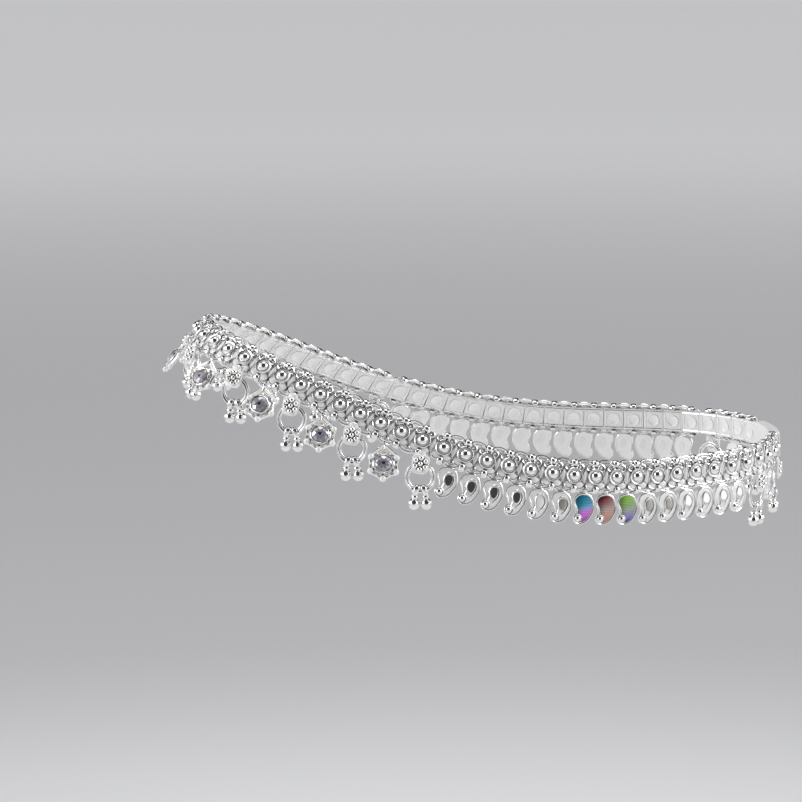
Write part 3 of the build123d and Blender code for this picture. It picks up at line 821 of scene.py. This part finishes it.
def enamel(name, stops):
    """Enamel whose colour runs down the paisley on a slant, over finely hatched metal, with painted shade
    darkening it towards its low-x side.
    """
    material, tree, shader = node_material(name)
    place = add_node(tree, "Attribute", attribute_name="paisley_place").outputs["Vector"]
    split = add_node(tree, "SeparateXYZ", {"Vector": place})
    across, up = split.outputs["X"], split.outputs["Y"]
    warp = add_node(tree, "TexNoise", {"Vector": place, "Scale": 1.6, "Detail": 2.0}).outputs["Fac"]
    for moved_by, share in ((warp, ENAMEL_WARP), (across, ENAMEL_SLANT)):
        moved = add_node(tree, "Math", {0: moved_by, 1: share, 2: up}, operation="MULTIPLY_ADD")
        up = moved.outputs["Value"]
    colour = add_ramp(tree, up, stops)
    lines = add_node(
        tree,
        "TexWave",
        {"Vector": place, "Scale": HATCH_LINES, "Distortion": 0.6, "Detail": 1.0},
        bands_direction="Y",
    )
    hatched = add_mix(tree, HATCH_SHARE, colour, lines.outputs["Color"], "MULTIPLY")
    # Painted shade: the colour is halved at the field's low-x edge and reaches its full strength 0.3 across.
    painted_side_shade = add_node(tree, "MapRange", {"Value": across, "From Max": 0.3, "To Min": 0.5})
    bump = add_node(tree, "Bump", {"Height": lines.outputs["Fac"], "Strength": 0.4, "Distance": 0.03 * MM})
    feed(tree, shader, {
        "Base Color": add_mix(tree, 1.0, hatched, painted_side_shade.outputs["Result"], "MULTIPLY"),
        "Metallic": 0.25,
        "Roughness": 0.28,
        "Coat Weight": 0.6,
        "Coat Roughness": 0.08,
        "Normal": bump.outputs["Normal"],
    })
    return material


# Each ramp runs from the curl's end at 0 to the neck at 1.
TEAL_STOPS = [
    (0.05, (0.45, 0.06, 0.45)),
    (0.25, (0.85, 0.18, 0.85)),
    (0.45, (0.6, 0.3, 0.8)),
    (0.55, (0.2, 0.42, 0.75)),
    (0.66, (0.02, 0.36, 0.55)),
    (0.95, (0.01, 0.26, 0.42)),
]
RED_STOPS = [
    (0.05, (0.62, 0.26, 0.18)),
    (0.3, (0.75, 0.4, 0.33)),
    (0.5, (0.6, 0.42, 0.37)),
    (0.62, (0.36, 0.31, 0.26)),
    (0.74, (0.4, 0.12, 0.14)),
    (0.95, (0.16, 0.012, 0.02)),
]
GREEN_STOPS = [
    (0.04, (0.03, 0.02, 0.2)),
    (0.2, (0.3, 0.26, 0.75)),
    (0.34, (0.38, 0.38, 0.55)),
    (0.48, (0.45, 0.5, 0.42)),
    (0.66, (0.3, 0.5, 0.18)),
    (0.9, (0.3, 0.62, 0.06)),
]
enamels = {
    "teal": enamel("teal_enamel", TEAL_STOPS),
    "red": enamel("red_enamel", RED_STOPS),
    "green": enamel("green_enamel", GREEN_STOPS),
}


def stone_glass(name, cool, warm):
    """A stone facet's colour, warmer in some places than in others, given in bright, grey and dark copies as
    painted reflection.
    """
    material, tree, shader = node_material(name)
    place = add_node(tree, "TexCoord").outputs["Object"]
    tint = add_node(tree, "TexNoise", {"Vector": place, "Scale": 900.0, "Detail": 1.0})
    feed(tree, shader, {
        "Base Color": add_ramp(tree, tint.outputs["Fac"], [(0.3, warm), (0.5, cool)]),
        "Metallic": 0.45,
        "Roughness": 0.08,
        "Coat Weight": 0.6,
        "Coat Roughness": 0.02,
    })
    return material


# In the order of the facets' painted reflections: bright, grey and dark.
stones = [
    stone_glass("stone_painted_glint", (0.5, 0.48, 0.54), (0.45, 0.41, 0.4)),
    stone_glass("stone_painted_grey", (0.3, 0.28, 0.34), (0.28, 0.24, 0.24)),
    stone_glass("stone_painted_dark", (0.05, 0.04, 0.08), (0.05, 0.04, 0.05)),
]


# ---- pieces ----
def piece(name, shape, materials, nodes=(), place=None, crease=42):
    """One named mesh, sharp at edges over crease degrees. Place is where each corner is in the enamel."""
    mesh = bpy.data.meshes.new(name)
    mesh.vertices.add(len(shape.verts))
    mesh.vertices.foreach_set("co", (shape.verts * MM).astype(np.float32).ravel())
    mesh.loops.add(len(shape.loops))
    mesh.loops.foreach_set("vertex_index", shape.loops.astype(np.int32))
    mesh.polygons.add(len(shape.sizes))
    starts = np.concatenate(([0], np.cumsum(shape.sizes)[:-1]))
    mesh.polygons.foreach_set("loop_start", starts.astype(np.int32))
    mesh.polygons.foreach_set("material_index", shape.finish.astype(np.int32))
    mesh.update(calc_edges=True)
    mesh.validate()
    mesh.shade_smooth()
    mesh.set_sharp_from_angle(angle=radians(crease))
    if place is not None:
        attribute = mesh.attributes.new("paisley_place", "FLOAT_VECTOR", "POINT")
        attribute.data.foreach_set("vector", place.astype(np.float32).ravel())
    for material in materials:
        mesh.materials.append(material)
    obj = bpy.data.objects.new(name, mesh)
    bpy.context.scene.collection.objects.link(obj)
    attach(obj, "root")
    if nodes:
        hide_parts(*nodes)
    return obj


def both_sides(places):
    """The places on the far side, from the heel, and then those on the near side."""
    return [-place for place in reversed(places)] + places


def side_name(place):
    return "near" if place > 0 else "far"


def silver_piece(name, shape, nodes=()):
    return piece(name, shape, silvers, nodes)


link_shape, scallop_shape = link(), scallops()
for name, (start, end) in STRETCHES.items():
    # The front has the scallops over both its ends. Over the other joints between stretches there are none.
    first, last = (start, end + 1) if name == "band_front" else (start + 1, end)
    shapes = [placed(link_shape, band_plane(u + 0.5)) for u in range(start, end)]
    shapes += [placed(scallop_shape, band_plane(u)) for u in range(first, last)]
    silver_piece(f"{name}_links", joined(shapes), [name])

body, inlay = paisley_body(), paisley_inlay()
inlay_low, inlay_high = inlay.verts.min(0), inlay.verts.max(0)
inlay_place = (inlay.verts - inlay_low) / (inlay_high[1] - inlay_low[1])
for place in both_sides(PAISLEYS):
    on = turned_plane(drop_plane(place, -SCALLOP_PEAK, PAISLEY_FALL), 0, (0, PAISLEY_TOP, 0))
    side, colour = side_name(place), ENAMELLED.get(abs(place))
    # Painted reflection: the listed plain ovals take a darker silver instead of the polished one.
    shape = body if colour else joined([body, paisley_seed(SEED_PAINTED_TONES.get(place, POLISHED))])
    silver_piece(f"paisley_{side}_{abs(place):02d}", placed(shape, on))
    if colour:
        node, slot = f"enamel_{side}_{colour}", f"enamel_{colour}"
        piece(f"{node}_inlay", placed(inlay, on), [enamels[colour]], [node], inlay_place)

flower_shape, stone_shape = flower(), stone()
for number, place in enumerate(FLOWERS, start=1):
    carrier = band_plane(place)
    pivot = local(carrier, 0, -SCALLOP_PEAK, SCALLOP_MIDDLE)
    down = surface_down(carrier[3]) * (1 - FLOWER_STIFFNESS) - carrier[2] * FLOWER_STIFFNESS
    hanging = hung_plane(pivot, carrier[3], down)
    silver_piece(f"flower_drop_{number}", placed(flower_shape, hanging), [f"flower_{number}"])
    faceted = placed(stone_shape, hanging)
    piece(f"faceted_stone_{number}", faceted, stones, [f"stone_{number}"], crease=5)

tab_shape, ring_shape = tab(), jump_ring()
bells = {"left": (-1, bell(-1)), "right": (1, bell(1))}
below_loop = LOOP_INNER - JUMP_WIRE - JUMP_SPREAD - LOOP_SLACK
eye_reach = sqrt(JUMP_RADIUS**2 - EYE_OFF**2)
for number, place in enumerate(both_sides(RINGS), start=1):
    carrier = drop_plane(place, -POST_OUT, TAB_FALL)
    silver_piece(f"granulated_tab_{number:02d}", placed(tab_shape, carrier))
    pivot = local(carrier, 0, LOOP_AT[0] - below_loop, LOOP_AT[1])
    hanging = hung_plane(pivot, carrier[3], surface_down(carrier[3]) - UP * 2)
    silver_piece(f"jump_ring_{number:02d}", placed(ring_shape, hanging), [f"ring_drop_{number:02d}"])
    for label, (side, shape) in bells.items():
        wire = local(hanging, side * EYE_OFF, -JUMP_RADIUS - eye_reach, 0)
        on = turned_plane(hung_plane(wire, hanging[3], -UP), side * BELL_SPLAY)
        silver_piece(f"bell_{number:02d}_{label}", placed(shape, on))


def clasp_bar(steps=30):
    """A plain bar round the heel, a little smaller at both ends."""
    section = softened(box_outline(CLASP_HEIGHT / 2, CLASP_DEPTH / 2), 0.5, 5)
    seam = CLASP_SEAM / loop_pitch
    length = CLASP_TO - CLASP_FROM - 2 * seam
    rings = []
    for step in range(steps + 1):
        here = band_plane(CLASP_FROM + seam + length * step / steps)
        size = 1 - CLASP_TAPER * max(0, 1 - min(step, steps - step) / 2) ** 2
        rings.append([local(here, 0, a * size, b * size) for a, b in section])
    return strung(rings, SHADE)


silver_piece("clasp_bar", clasp_bar(), ["clasp"])

# ---- the floor ----
FLOOR_HALF, FLOOR_DROP = 8.0, 0.095
floor_mesh = bpy.data.meshes.new("floor")
floor_corners = [(x * FLOOR_HALF, y * FLOOR_HALF, 0) for x, y in box_outline(1, 1)]
floor_mesh.from_pydata(floor_corners, [], [(0, 1, 2, 3)])
floor = bpy.data.objects.new("floor", floor_mesh)
floor.location.z = -FLOOR_DROP
bpy.context.scene.collection.objects.link(floor)
floor_material, tree, shader = node_material("pale_floor")
# It has a painted pool of light under the piece and in front of it, is plain behind it, and a painted glow
# makes it paler again far off. The silver and the stones mirror it as the camera sees it, and only the light
# that it throws back is stronger.
place = add_node(tree, "TexCoord").outputs["Object"]
off = add_node(tree, "VectorMath", {0: place, 1: (-0.03, -0.2, 0)}, operation="DISTANCE").outputs["Value"]
off_pool = add_node(
    tree, "MapRange", {"Value": off, "From Min": 0.22, "From Max": 0.42}, interpolation_type="SMOOTHSTEP"
)
painted_pool = add_mix(tree, off_pool.outputs["Result"], (0.87, 0.87, 0.88, 1), (0.56, 0.56, 0.575, 1))
seen = add_node(tree, "LightPath")
ray = seen.outputs["Is Camera Ray"]
for other in ("Is Glossy Ray", "Is Transmission Ray"):
    ray = add_node(tree, "Math", {0: ray, 1: seen.outputs[other]}, operation="MAXIMUM").outputs["Value"]
# Painted glow: emission that rises far off, for camera, glossy and transmission rays.
glow_reach = add_node(
    tree,
    "MapRange",
    {"Value": off, "From Min": 0.5, "From Max": 1.8, "To Max": 0.32},
    interpolation_type="SMOOTHSTEP",
)
glow = add_node(tree, "Math", {0: ray, 1: glow_reach.outputs["Result"]}, operation="MULTIPLY")
feed(tree, shader, {
    "Base Color": add_mix(tree, ray, (0.97, 0.97, 0.97, 1), painted_pool),
    "Roughness": 0.8,
    "Emission Color": (1, 1, 1.01, 1),
    "Emission Strength": glow.outputs["Value"],
})
floor_mesh.materials.append(floor_material)

# ---- the room: bright all round, but for a dark area high in front and one high behind ----
AZIMUTH, ELEVATION, DISTANCE = radians(-7.5), radians(10.3), 0.5
TARGET = Vector((-0.0121, 0.0, 0.0012))
PHOTO_WIDTH, FOCAL_PIXELS = 802, 2928
DARK_LIFT, DARK_INNER, DARK_OUTER = radians(44), radians(38), radians(50)


def towards(turn, lift):
    """The direction at this turn from the front and this lift above level."""
    return Vector((sin(turn) * cos(lift), -cos(turn) * cos(lift), sin(lift)))


world = bpy.data.worlds.new("studio")
bpy.context.scene.world = world
world.use_nodes = True
tree = world.node_tree
direction = add_node(tree, "TexCoord").outputs["Generated"]
zones = []
for turn in (AZIMUTH, AZIMUTH + pi):
    dot = add_node(tree, "VectorMath", {0: direction, 1: towards(turn, DARK_LIFT)}, operation="DOT_PRODUCT")
    zone = add_node(
        tree,
        "MapRange",
        {"Value": dot.outputs["Value"], "From Min": cos(DARK_OUTER), "From Max": cos(DARK_INNER)},
        interpolation_type="SMOOTHSTEP",
    )
    zones.append(zone.outputs["Result"])
dark = add_node(tree, "Math", dict(enumerate(zones)), operation="MAXIMUM").outputs["Value"]
room = add_mix(tree, dark, (1.08, 1.085, 1.095, 1), (0.05, 0.05, 0.055, 1))
feed(tree, tree.nodes["Background"], {"Color": room, "Strength": 1.0})


# ---- lamps and camera ----
def soft_light(name, turn, lift, distance, size, power):
    light = bpy.data.lights.new(name, "AREA")
    light.shape, light.size, light.energy = "DISK", size, power
    obj = bpy.data.objects.new(name, light)
    side = towards(radians(turn), radians(lift))
    obj.location = side * distance
    obj.rotation_euler = side.to_track_quat("Z", "Y").to_euler()
    bpy.context.scene.collection.objects.link(obj)


soft_light("key_light", 72, 30, 0.9, 0.45, 2.7)
soft_light("fill_light", -78, 26, 0.9, 0.5, 2.4)
soft_light("top_light", 172, 76, 0.9, 0.6, 2.0)

camera_data = bpy.data.cameras.new("camera")
camera = bpy.data.objects.new("camera", camera_data)
camera_data.sensor_width = 36
camera_data.lens = FOCAL_PIXELS / PHOTO_WIDTH * camera_data.sensor_width
camera_data.clip_start, camera_data.clip_end = 0.01, 50
back = towards(AZIMUTH, ELEVATION)
camera.location = TARGET + back * DISTANCE
camera.rotation_euler = back.to_track_quat("Z", "Y").to_euler()
bpy.context.scene.collection.objects.link(camera)
bpy.context.scene.camera = camera
bpy.context.scene.view_settings.view_transform = "Standard"
